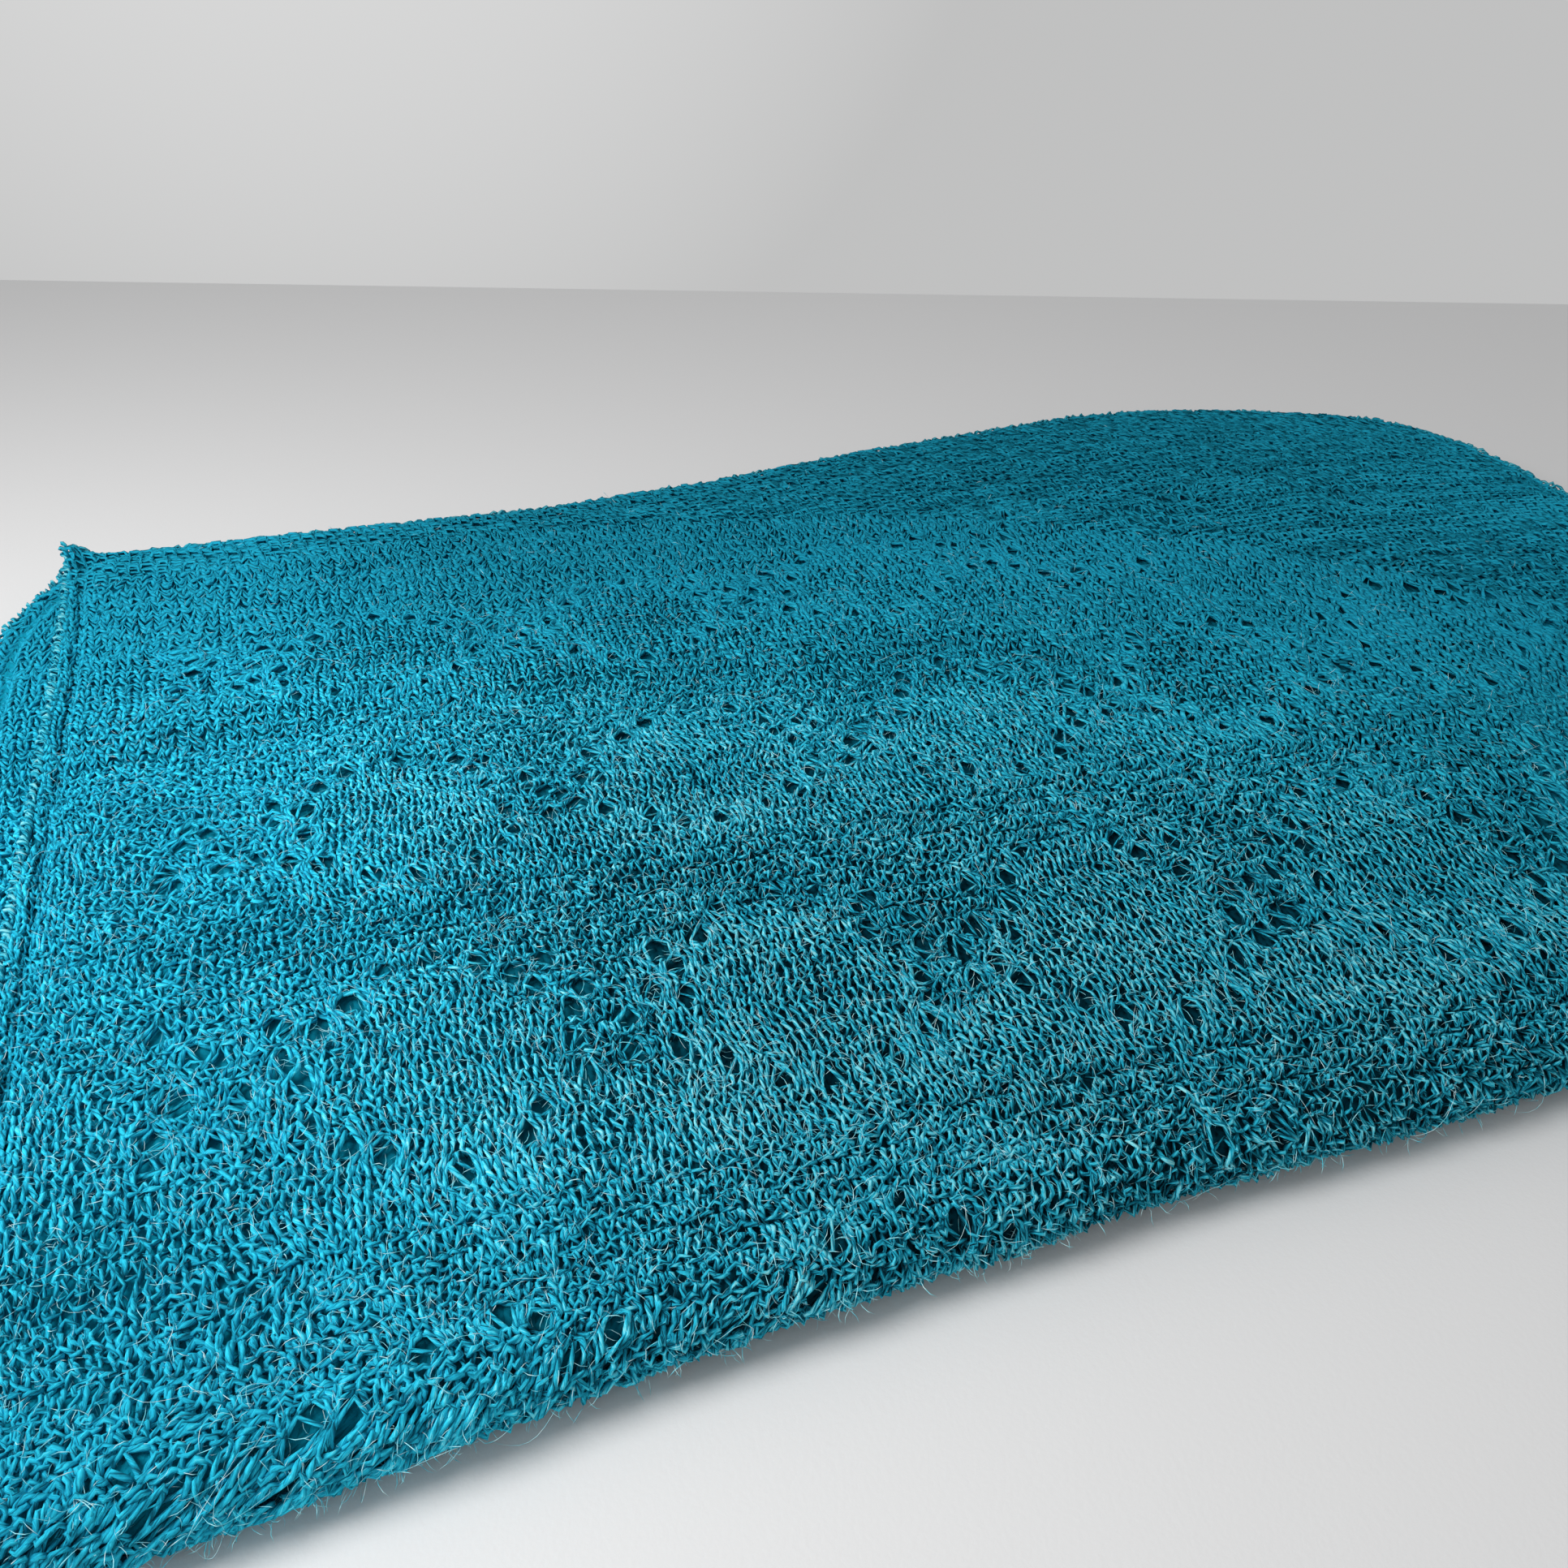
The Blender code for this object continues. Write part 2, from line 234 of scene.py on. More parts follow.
def newTree(name, sockets):
    tree = bpy.data.node_groups.new(name, "GeometryNodeTree")
    tree.interface.new_socket("Geometry", in_out="INPUT", socket_type="NodeSocketGeometry")
    for label, kind, value in sockets:
        socket = tree.interface.new_socket(label, in_out="INPUT", socket_type="NodeSocket" + kind)
        if value is not None:
            socket.default_value = value
    tree.interface.new_socket("Geometry", in_out="OUTPUT", socket_type="NodeSocketGeometry")
    return tree, tree.nodes.new("NodeGroupInput").outputs


def addNode(tree, kind, inputs=None, **settings):
    # a node with its settings, whose inputs are values or other nodes' outputs
    node = tree.nodes.new(kind)
    for key, value in settings.items():
        setattr(node, key, value)
    for key, value in (inputs or {}).items():
        if isinstance(value, bpy.types.NodeSocket):
            tree.links.new(value, node.inputs[key])
        else:
            node.inputs[key].default_value = value
    return node


def made(tree, kind, inputs=None, output=0, **settings):
    # the same, but gives one output of the node
    return addNode(tree, kind, inputs, **settings).outputs[output]


def calculate(operation, first, other=0.0):
    tree = (first if isinstance(first, bpy.types.NodeSocket) else other).id_data
    return made(tree, "ShaderNodeMath", {0: first, 1: other}, operation=operation)


def plus(first, other):
    return calculate("ADD", first, other)


def minus(first, other):
    return calculate("SUBTRACT", first, other)


def times(first, other):
    return calculate("MULTIPLY", first, other)


def vectorNode(operation, first, other):
    return made(first.id_data, "ShaderNodeVectorMath", {0: first, 1: other}, "Vector", operation=operation)


def rampNode(factor, stops):
    output = made(factor.id_data, "ShaderNodeValToRGB", {"Fac": factor}, "Color")
    ramp = output.node.color_ramp
    while len(ramp.elements) < len(stops):
        ramp.elements.new(1.0)
    for element, (position, color) in zip(ramp.elements, stops):
        element.position = position
        element.color = (*color, 1)
    return output


def noise(place, scale, detail, roughness=0.5):
    return made(place.id_data, "ShaderNodeTexNoise", {
        "Vector": place, "Scale": scale, "Detail": detail, "Roughness": roughness}, "Fac")


def objectPlace(tree):
    return made(tree, "ShaderNodeTexCoord", output="Object")


def split(vector):
    return addNode(vector.id_data, "ShaderNodeSeparateXYZ", {"Vector": vector}).outputs


def finishTree(tree, geometry, material):
    soft = made(tree, "GeometryNodeSetShadeSmooth", {"Geometry": geometry})
    real = made(tree, "GeometryNodeRealizeInstances", {"Geometry": soft})
    dyed = made(tree, "GeometryNodeSetMaterial", {"Geometry": real, "Material": material})
    addNode(tree, "NodeGroupOutput", {"Geometry": dyed})
    return tree


def runTree(obj, tree, values):
    # puts the tree on the object, and makes its result the object's plain mesh
    modifier = obj.modifiers.new(tree.name, "NODES")
    modifier.node_group = tree
    identifiers = {item.name: item.identifier for item in tree.interface.items_tree
                   if item.item_type == "SOCKET" and item.in_out == "INPUT"}
    for label, value in values.items():
        modifier[identifiers[label]] = value
    bpy.context.view_layer.update()
    evaluated = obj.evaluated_get(bpy.context.evaluated_depsgraph_get())
    mesh = bpy.data.meshes.new_from_object(evaluated)
    obj.modifiers.remove(modifier)
    obj.data = mesh
    mesh.name = obj.name


def makeStrandTree():
    # yarn: a closed tube along each line of points, with u along the strand in metres and v round it
    tree, given = newTree("yarn along a line", [
        ("Sides", "Int", 4), ("Thickness", "Float", 1.0), ("Weld", "Float", 2e-6),
        ("Yarn", "Material", None)])

    def named(label):
        return made(tree, "GeometryNodeInputNamedAttribute", {"Name": label}, data_type="FLOAT")
    line = made(tree, "GeometryNodeMeshToCurve", {"Mesh": given["Geometry"]})
    corners = made(tree, "FunctionNodeIntegerMath", {0: given["Sides"], 1: 1}, operation="ADD")
    ring = made(tree, "GeometryNodeCurveArc", {
        "Resolution": corners, "Radius": 1.0, "Start Angle": 0.0, "Sweep Angle": math.tau})
    marked = made(tree, "GeometryNodeStoreNamedAttribute", {
        "Geometry": ring, "Name": "around", "Value": made(tree, "GeometryNodeSplineParameter")},
        data_type="FLOAT", domain="POINT")
    tube = made(tree, "GeometryNodeCurveToMesh", {
        "Curve": line, "Profile Curve": marked, "Scale": times(named("thick"), given["Thickness"])})
    both = made(tree, "ShaderNodeCombineXYZ", {"X": named("run"), "Y": named("around")})
    mapped = made(tree, "GeometryNodeStoreNamedAttribute", {
        "Geometry": tube, "Name": "UVMap", "Value": both}, data_type="FLOAT2", domain="CORNER")
    welded = made(tree, "GeometryNodeMergeByDistance", {"Geometry": mapped, "Distance": given["Weld"]})
    return finishTree(tree, welded, given["Yarn"])


def makeHaloTree():
    # loose fibres: a thin bent spindle at scattered places of the yarn, turned at random
    tree, given = newTree("loose fibres", [
        ("Density", "Float", 1.0), ("Length", "Float", 0.003), ("Thickness", "Float", 0.00004),
        ("Shortest", "Float", 0.4), ("Lean low", "Float", 0.15), ("Lean", "Float", 1.2),
        ("Seed", "Int", 5), ("Bends", "Int", 2), ("Fibre", "Material", None)])

    def anyOf(low, high, seed):
        return made(tree, "FunctionNodeRandomValue", {2: low, 3: high, "Seed": seed}, 1, data_type="FLOAT")
    bow = made(tree, "GeometryNodeCurveQuadraticBezier", {
        "Resolution": given["Bends"], "Start": (0, 0, 0), "Middle": (0.12, 0, 0.62),
        "End": (0.62, 0, 0.8)})
    reach = made(tree, "GeometryNodeSplineParameter")
    slim = calculate("DIVIDE", given["Thickness"], given["Length"])
    taper = times(times(times(minus(reach, 1.0), reach), -4.0), slim)
    ring = made(tree, "GeometryNodeCurvePrimitiveCircle", {"Resolution": 3, "Radius": 1.0})
    spindle = made(tree, "GeometryNodeCurveToMesh", {"Curve": bow, "Profile Curve": ring, "Scale": taper})
    spindle = made(tree, "GeometryNodeMergeByDistance", {"Geometry": spindle, "Distance": 1e-5})
    near = made(tree, "GeometryNodeInputNamedAttribute", {"Name": "near"}, data_type="FLOAT")
    points = addNode(tree, "GeometryNodeDistributePointsOnFaces", {
        "Mesh": given["Geometry"], "Density": times(near, given["Density"]), "Seed": given["Seed"]},
        distribute_method="RANDOM").outputs
    lean = anyOf(given["Lean low"], given["Lean"], 1)
    turn, spin = anyOf(0.0, math.tau, 2), anyOf(0.0, math.tau, 3)
    rotation = points["Rotation"]
    for turned in ({"Z": turn}, {"X": lean, "Z": spin}):
        rotation = made(tree, "FunctionNodeRotateRotation", {
            "Rotation": rotation, "Rotate By": made(tree, "ShaderNodeCombineXYZ", turned)},
            rotation_space="LOCAL")
    copies = made(tree, "GeometryNodeInstanceOnPoints", {
        "Points": points["Points"], "Instance": spindle, "Rotation": rotation,
        "Scale": times(anyOf(given["Shortest"], 1.0, 4), given["Length"])})
    return finishTree(tree, copies, given["Fibre"])


# Materials

def newMaterial(name, settings):
    material = bpy.data.materials.new(name)
    material.use_nodes = True
    shader = material.node_tree.nodes["Principled BSDF"]
    for socket, value in settings.items():
        shader.inputs[socket].default_value = value
    return material, material.node_tree, shader


def addBump(shader, strength, distance, height):
    tree = height.id_data
    bump = made(tree, "ShaderNodeBump", {"Strength": strength, "Distance": distance, "Height": height},
                "Normal")
    tree.links.new(bump, shader.inputs["Normal"])


woolLook = {
    "plyTurn": 0.0080,        # metres of strand for one turn of its two plies
    "plyDepth": 0.00022, "plyBump": 0.9, "fibreBump": 0.8,
    "plyRound": 0.6, "plyMiddle": 0.78,
    # painted highlight and shade: groove sets how much darker the groove between the plies and lighter their
    # crests are painted
    "groove": 0.34,           # how dark the groove between the plies is
    "fibreLong": 170.0,       # fibre streaks along the strand
    "fibreFine": 1.9,         # and round it
    "fibreScale": 1.6, "patchScale": 300.0,
    "fibreShare": 1.10, "patchShare": 0.55, "lighter": 0.08,  # what makes up the tone
    # painted shade: rise sets how much lighter the strand is painted where it stands out, and darker where
    # it sinks among the others
    "rise": 0.24,             # how much lighter the strand is where it stands out
    "blur": 0.88,             # how much of the tones' difference is lost where the strand is soft
    "middleTone": 1.02,       # the tones below and above this are darker and lighter than the body
    "contrast": 0.92, "bodyTone": 0.61,
    "tones": ((0.38, (0.002, 0.020, 0.032)), (0.50, (0.004, 0.118, 0.188)), (0.61, (0.012, 0.385, 0.575)),
              (0.74, (0.035, 0.690, 0.910)), (0.86, (0.360, 0.920, 0.980))),
    # painted light and shade by place: x or y, and how light the wool's colour is painted there, lighter
    # along the left, darker at the front and back
    "sideLight": ((-0.27, 1.34), (-0.205, 1.40), (-0.12, 1.04), (0.02, 1.03), (0.18, 1.05), (0.27, 1.10)),
    "depthLight": ((-0.17, 0.83), (-0.02, 1.0), (0.06, 1.0), (0.17, 0.88)),
    "farTone": 0.12,          # and darker by this where the strand is soft
    "rough": 0.9, "sheen": 0.12, "sheenRough": 0.5, "sheenTint": (0.05, 0.75, 1.0, 1), "gloss": 0.06,
}


def lightOver(measure, stops, share):
    # painted light by place, within half a metre of the middle
    return rampNode(plus(measure, 0.5), [(place + 0.5, (light * share,) * 3) for place, light in stops])


def makeWool(name, look, tone=1.0):
    material, tree, shader = newMaterial(name, {
        "Roughness": look["rough"], "Sheen Weight": look["sheen"], "Sheen Roughness": look["sheenRough"],
        "Sheen Tint": look["sheenTint"], "Specular IOR Level": look["gloss"]})
    strand = split(made(tree, "ShaderNodeUVMap", uv_map="UVMap"))
    angle = times(plus(strand["Y"], times(strand["X"], 1 / look["plyTurn"])), math.tau)
    sine, cosine = calculate("SINE", angle), calculate("COSINE", angle)
    # the two plies are round, with a groove between them, and fibres lie along their twist; the plies'
    # crests are painted lighter and the groove darker, as painted highlight and shade
    plies = calculate("POWER", calculate("ABSOLUTE", sine), look["plyRound"])
    plyHighlightAndShade = times(minus(plies, look["plyMiddle"]), look["groove"])
    fibres = noise(made(tree, "ShaderNodeCombineXYZ", {
        "X": times(cosine, look["fibreFine"]), "Y": times(sine, look["fibreFine"]),
        "Z": times(strand["X"], look["fibreLong"])}), look["fibreScale"], 4.0, 0.7)
    place = objectPlace(tree)
    patches = noise(place, look["patchScale"], 3.0, 0.7)
    rise, soft = (made(tree, "ShaderNodeAttribute", output="Fac", attribute_name=label)
                  for label in ("rise", "soft"))
    # the tone holds painted highlight and shade: lighter on the plies' crests and where the strand stands
    # out, darker in the groove and where it sinks
    tones = plus(times(fibres, look["fibreShare"]), times(patches, look["patchShare"]))
    tones = plus(plus(tones, plus(plyHighlightAndShade, look["lighter"])), times(rise, look["rise"]))
    tones = times(minus(tones, look["middleTone"]), minus(1.0, times(soft, look["blur"])))
    color = rampNode(plus(times(tones, look["contrast"]), look["bodyTone"]), look["tones"])
    # a ramp holds no light over one, so the side's is halved here and doubled below
    spot = split(place)
    side, depth = lightOver(spot["X"], look["sideLight"], 0.5), lightOver(spot["Y"], look["depthLight"], 1.0)
    # painted light and shade: the wool's colour is scaled by place, and made darker where the strand is soft
    shade = times(times(side, minus(1.0, times(soft, look["farTone"]))), depth)
    color = made(tree, "ShaderNodeVectorMath", {0: color, "Scale": times(shade, 2 * tone)}, "Vector",
                 operation="SCALE")
    tree.links.new(color, shader.inputs["Base Color"])
    addBump(shader, look["plyBump"], look["plyDepth"], plus(plies, times(fibres, look["fibreBump"])))
    return material


def makeFibre(name, *colors):
    material, tree, shader = newMaterial(name, {"Roughness": 0.7, "Specular IOR Level": 0.15})
    color = rampNode(noise(objectPlace(tree), 600.0, 1.0), list(zip((0.32, 0.52, 0.68), colors)))
    tree.links.new(color, shader.inputs["Base Color"])
    return material


clothLook = {
    "stitch": 0.0038, "row": 0.0028, "groove": 0.0006, "slant": 1.1, "ridge": 0.4, "fibres": 0.7,
    # height and tone, of the near-black sheet seen between the stitches, which is painted shade, and of
    # plain knitting, painted darker where its stitches lie low
    "between": ((0.35, (0.000, 0.012, 0.020)), (0.75, (0.001, 0.045, 0.070))),
    "plain": ((0.35, (0.001, 0.085, 0.130)), (0.62, (0.001, 0.145, 0.215)),
              (0.82, (0.001, 0.205, 0.300)), (1.0, (0.008, 0.300, 0.425))),
    # painted light: the gaps are painted less dark at the back, along the left, and beyond the right of the
    # picture: a direction over the table, how far along it none and all of the colour is added, and the
    # colour
    "lit": (((0, 1, 0), -0.08, 0.12, (0.004, 0.238, 0.350)),
            ((1, 0, 0), -0.12, -0.26, (0.003, 0.240, 0.350)),
            ((0.823, -0.568, 0), 0.154, 0.162, (0.010, 0.345, 0.500))),
    "plainBend": 1.5,         # how unevenly plain stitches lie, in stitches
    "plainGroove": 0.55,      # share of the bump's strength on plain knitting
}


def litGaps(place, look):
    # painted light added to the near-black gaps by place
    added = None
    for direction, none, full, tint in look["lit"]:
        measure = made(place.id_data, "ShaderNodeVectorMath", {0: place, 1: direction}, "Value",
                       operation="DOT_PRODUCT")
        glow = rampNode(plus(measure, 0.5), sorted([(none + 0.5, (0, 0, 0)), (full + 0.5, tint)]))
        added = glow if added is None else vectorNode("MAXIMUM", added, glow)
    return added


def makeKnitCloth(name, look, dark):
    # knitted cloth by shading only: V stitches from the piece's own u and v in metres
    material, tree, shader = newMaterial(name, {"Roughness": 0.95, "Specular IOR Level": 0.03})
    run = split(made(tree, "ShaderNodeUVMap", uv_map="UVMap"))
    place = objectPlace(tree)
    stitches, rows = times(run["X"], 1 / look["stitch"]), times(run["Y"], 1 / look["row"])
    if not dark:
        bend = times(minus(noise(place, 170.0, 2.0), 0.5), 2 * look["plainBend"])
        stitches, rows = plus(stitches, bend), plus(rows, bend)
    legs = calculate("PINGPONG", stitches, 0.5)
    strand = calculate("PINGPONG", minus(rows, times(legs, look["slant"])), 0.5)
    ridges = times(calculate("SINE", times(legs, math.tau)), look["ridge"])
    height = plus(plus(strand, ridges), times(noise(place, 900.0, 4.0, 0.7), look["fibres"]))
    # the tone follows the stitch height, painted darker where the stitches lie low: painted shade
    color = rampNode(times(height, 0.95), look["between" if dark else "plain"])
    if dark:
        color = vectorNode("ADD", color, litGaps(place, look))
    tree.links.new(color, shader.inputs["Base Color"])
    addBump(shader, 1.0 if dark else look["plainGroove"], look["groove"], height)
    return material


woolYarn = makeWool("woolYarn", woolLook)
# the worked edges' wool is a copy of it painted 0.6 as light: painted shade
edgeYarn = makeWool("edgeYarn", woolLook, 0.60)
looseFibre = makeFibre("looseFibre", (0.06, 0.62, 0.78), (0.36, 0.86, 0.95), (0.70, 0.95, 0.98))
paleHair = makeFibre("paleHair", (0.10, 0.66, 0.78), (0.45, 0.88, 0.94), (0.80, 0.95, 0.97))
# the near-black sheet under the stitches is painted shade: it stands for the shade between and under the
# strands and in the eyelets
paintedShadeCloth = makeKnitCloth("clothBetweenStitches", clothLook, True)
knitCloth = makeKnitCloth("plainKnitCloth", clothLook, False)
strandTree = makeStrandTree()
haloTree = makeHaloTree()
print("materials and trees made")

camera = {
    "place": (-0.18368, -0.31723, 0.2180), "down": 34.1, "heading": 20.75,  # degrees
    "lens": 30.19, "sensor": 36.0, "picture": 1932,
}
eye = np.array(camera["place"])

# The knitting chart, in stitches from the left edge and rows from the front line of the top
knit = {
    "stitches": 148, "rows": 135, "firstRow": -7,
    "tilt": 0.113,                      # the rows run down to the right by this share of the depth
    "width": 0.56, "depth": 0.375,
    "thick": 0.00054,                   # radius of the strand
    "loopWide": 0.215, "loopHigh": 0.86, "loopDeep": 0.00078,
    "crossings": (0.0, 0.36, 0.5, 0.64, 1.0),  # where a loop's leg passes others, from foot to head
    "bandStarts": (-12, 21, 52, 86),
    "centres": (0.6, 23, 45.4, 67.8, 90.2, 112.6, 135),
    "plainEdge": 9,                     # stitches without eyelets at each side
    "smoothFrom": 15,                   # the smooth bands start this many stitches in
    "odd": (0.15, 0.42),                # share of stitches that show their other side, near and far
    "oddFrom": (0.30, 0.50),            # metres from the eye for these
    "foldOdd": 0.30,                    # and their share round the front fold
    "holeRadius": 0.0023, "holeReach": 0.0054,
    "holesClear": 0.50,                 # holes are drawn finely up to this far from the eye
    "edgeGroove": (1.5, 0.55, 0.0013),  # beside the left edge stitch: stitch, half width and depth
    "garterRise": 0.00012,
    "nearest": 0.268, "middle": 0.405, "farthest": 0.520,  # metres from the eye, where loops get simpler
    "slimNear": (0.84, 0.28, 0.42),     # the strand's share of its radius near the eye, and where that ends
    "farSwell": 0.50, "farFlat": 0.60,  # a soft strand is thicker and flatter
    "softFrom": 0.32, "softOver": 0.20, "unseenSoft": 0.8,
    "softLeft": (0.50, -0.13, 0.10),    # how soft the left is, the x where that begins and over how much
    "wander": 0.26, "sway": 0.42,       # how far stitches stray along and across their row
    "looser": 0.25, "taller": 0.13, "deeper": 0.25,  # how uneven loops are, as shares
    "strayX": 0.10, "strayY": 0.13, "strayZ": 0.00018, "swell": 0.00030,
    "uneven": (0.14, 0.10),             # the strand's thickness, from point to point and slowly
    "crimp": 0.00012,                   # small bends of the strand
    "fibres": (0.62, 0.36, 0.05, 2.5),  # loose fibres: where they end, over how much, least and power
    "secondTurn": 0.0141,               # how far the second layer's rows go round their fold
    "most": 195000,                     # triangles of one piece
}
# eyelets of one lace oval, in stitches from its middle and rows from its lowest point
ovalEyelets = [
    (-2.3, 19.2), (1.4, 20.2), (4.2, 18.4), (-4.2, 16.2), (6.0, 16.0), (7.9, 17.0), (-6.0, 13.2),
    (7.2, 13.4), (10.0, 13.6), (-7.6, 15.6), (-8.6, 11.2), (9.4, 10.6), (-6.6, 9.2), (-10.8, 9.6),
    (12.2, 9.0), (8.3, 7.4), (-9.4, 6.8), (11.6, 6.2), (-7.3, 5.0), (8.6, 4.9), (-5.2, 2.9), (6.8, 2.6),
    (-2.8, 0.8), (4.6, 0.7), (0.9, -0.5), (-11.6, 12.8),
]
ovalWidth = np.array([(0, 0), (1.2, 3.2), (2.6, 5.4), (5.0, 7.4), (7.5, 8.6), (10.5, 8.8), (13.2, 7.0),
                      (16.2, 4.8), (18.4, 2.6), (20, 0)], float)  # row, half width
# points of one loop, as degrees along it, from the finest to the simplest
strandAngles = [np.radians(angles) for angles in (
    [0, 40, 70, 110, 140, 180, 220, 250, 290, 320], range(0, 360, 45), range(0, 360, 60),
    range(0, 360, 90), range(0, 360, 120))]


def cameraAxes():
    heading, downward = math.radians(camera["heading"]), math.radians(camera["down"])
    forward = (math.sin(heading) * math.cos(downward), math.cos(heading) * math.cos(downward),
               -math.sin(downward))
    return forward, (math.cos(heading), -math.sin(heading), 0.0)


def inPicture(points, room=0.05):
    # whether the camera sees these places, with some room round its frame
    forward, right = (np.array(axis) for axis in cameraAxes())
    away = points - eye
    reach = away @ forward * camera["sensor"] / (2 * camera["lens"]) * (1 + room)
    return (np.abs(away @ right) < reach) & (np.abs(away @ np.cross(right, forward)) < reach)


def fromEye(points):
    return np.linalg.norm(points - eye, axis=-1)


def chartEyelets(chance):
    holes = set()
    for start in knit["bandStarts"]:
        for centre in knit["centres"]:
            for dx, dy in ovalEyelets:
                stitch = round(centre + dx + chance.normal(0, 0.35))
                row = round(start + dy + chance.normal(0, 0.3))
                if knit["plainEdge"] <= stitch <= knit["stitches"] - knit["plainEdge"] and all(
                        abs(stitch - x) + abs(row - y) > 1 for x, y in holes):
                    holes.add((stitch, row))
    return np.array(sorted(holes), float)


def chartFaces(stitches, row, odd):
    # 1 where the smooth side of a stitch shows and -1 where its purl side does
    face = np.full(len(stitches), 1.0 if row % 2 == 0 and row > 6 else -1.0)
    face = np.where(odd[row + 20, stitches], -face, face)
    for start in knit["bandStarts"][1:]:
        level = row - start
        half = np.interp(level, ovalWidth[:, 0], ovalWidth[:, 1], left=-1, right=-1)
        for centre in knit["centres"]:
            face = np.where(np.abs(stitches + 0.5 - centre) < half - 0.2, 1.0, face)
        if -3 < level < 6:
            face = np.where(stitches > knit["smoothFrom"], 1.0, face)
    return face


def shareOfRow(stitch, row):
    s = stitch / knit["stitches"]
    level = row / knit["rows"]
    return s, level - knit["tilt"] * (1 - level) * s


def holeSize(stitch, row):
    # eyelets differ in size by a fifth, and are smaller round the front fold
    size = knit["holeRadius"] * (0.8 + 0.4 * ((stitch * 7 + row * 3) % 5) / 4)
    return size * np.interp(row, (0, 8), (0.72, 1))


def fromHole(x, y, hole, wide, high):
    dx, dy = x - (hole[0] + 0.5) * wide, y - (hole[1] + 0.05) * high
    return dx, dy, np.sqrt(dx * dx + dy * dy) + 1e-9, holeSize(*hole)


def pushFromHoles(stitch, row, holes, wide, high):
    # strands near an eyelet are drawn away from its middle; sizes are one stitch and one row in metres
    x, y = stitch * wide, row * high
    byRow = holes[np.argsort(holes[:, 1])]
    first = np.searchsorted(byRow[:, 1], row.min() - 2.5)
    last = np.searchsorted(byRow[:, 1], row.max() + 2.5)
    moveX, moveY = np.zeros_like(x), np.zeros_like(y)
    for hole in byRow[first:last]:
        dx, dy, away, size = fromHole(x, y, hole, wide, high)
        pushed = size + away * (1 - size / knit["holeReach"])
        scale = np.where(away < knit["holeReach"], pushed / away, 1.0)
        moveX, moveY = moveX + dx * (scale - 1), moveY + dy * (scale - 1)
    x, y = x + moveX, y + moveY
    # and what two holes have drawn across a third one goes to its rim
    for hole in byRow[first:last]:
        dx, dy, away, size = fromHole(x, y, hole, wide, high)
        scale = np.maximum(size / away, 1)
        x, y = x + dx * (scale - 1), y + dy * (scale - 1)
    return x / wide, y / high


def softNoise(chance, cell, low=(-5, -20), high=(160, 150)):
    # a smooth random field over stitches and rows, with values of about one
    shape = [int((high[k] - low[k]) / cell[k]) + 3 for k in range(2)]
    grid = chance.normal(0, 1, shape)

    def value(x, y):
        i, j = (x - low[0]) / cell[0], (y - low[1]) / cell[1]
        i0, j0 = cellOf(i, shape[0]), cellOf(j, shape[1])
        return between(grid, i0, j0, smooth(i - i0), smooth(j - j0))
    return value


def softAt(points):
    # strands are soft far from the eye, and somewhat along the left
    far = smooth((fromEye(points) - knit["softFrom"]) / knit["softOver"])
    most, begins, over = knit["softLeft"]
    return np.maximum(far, most * smooth((begins - points[:, 0]) / over))


def oddStitches(panel, chance):
    # which stitches show their other side, so that the plain knitting is pebbled
    count = (knit["rows"] + 22, knit["stitches"])
    row, stitch = np.meshgrid(np.arange(count[0]) - 20, np.arange(count[1]), indexing="ij")
    s, t = shareOfRow(stitch.ravel() + 0.5, row.ravel())
    far = fromEye(onPanel(panel, s, t, np.zeros_like(s))).reshape(count)
    often = np.maximum(np.interp(far, knit["oddFrom"], knit["odd"]), np.where(row < 7, knit["foldOdd"], 0))
    return chance.uniform(0, 1, count) < often


def inFront(face, above, shareUp):
    # how far in front a leg is: at its foot, at the low and the high crossing, and at its head
    keys = np.array(knit["crossings"])
    ends = np.stack([-face, face, (face + above) / 2, above, -above], axis=1)
    slot = np.clip(np.searchsorted(keys, shareUp, side="right") - 1, 0, len(keys) - 2)
    part = smooth((shareUp - keys[slot]) / (keys[slot + 1] - keys[slot]))
    index = np.arange(len(face))
    return ends[index, slot] * (1 - part) + ends[index, slot + 1] * part


def unbroken(shown, finest):
    # first and last stitch of each stretch that is shown and drawn alike
    start = 0
    while start < len(shown):
        end = start
        while end + 1 < len(shown) and shown[start] and shown[end + 1] and finest[end + 1] == finest[start]:
            end += 1
        if shown[start]:
            yield start, end
        start = end + 1


def finishRun(points, thick, rise, row, sides):
    # both ends close to a point
    points = np.concatenate([points[:1] * 1.02 - points[1:2] * 0.02, points,
                             points[-1:] * 1.02 - points[-2:-1] * 0.02])
    rise = np.concatenate([rise[:1], rise, rise[-1:]])
    seen = inPicture(points)
    none, over, least, power = knit["fibres"]
    near = np.clip((none - fromEye(points)) / over, least, 1) ** power * np.clip(rise * 2 - 0.5, 0, 1)
    lengths = np.linalg.norm(np.diff(points, axis=0), axis=1)
    return {"points": points, "thick": np.concatenate([[0], thick, [0]]), "rise": rise,
            "run": np.concatenate([[0], np.cumsum(lengths)]) + row * 7.31,
            "soft": np.where(seen, softAt(points), knit["unseenSoft"]),
            "near": np.where(seen & (points[:, 2] > 0.003), near, 0), "sides": sides,
            "triangles": 2 * sides * (len(points) - 1)}


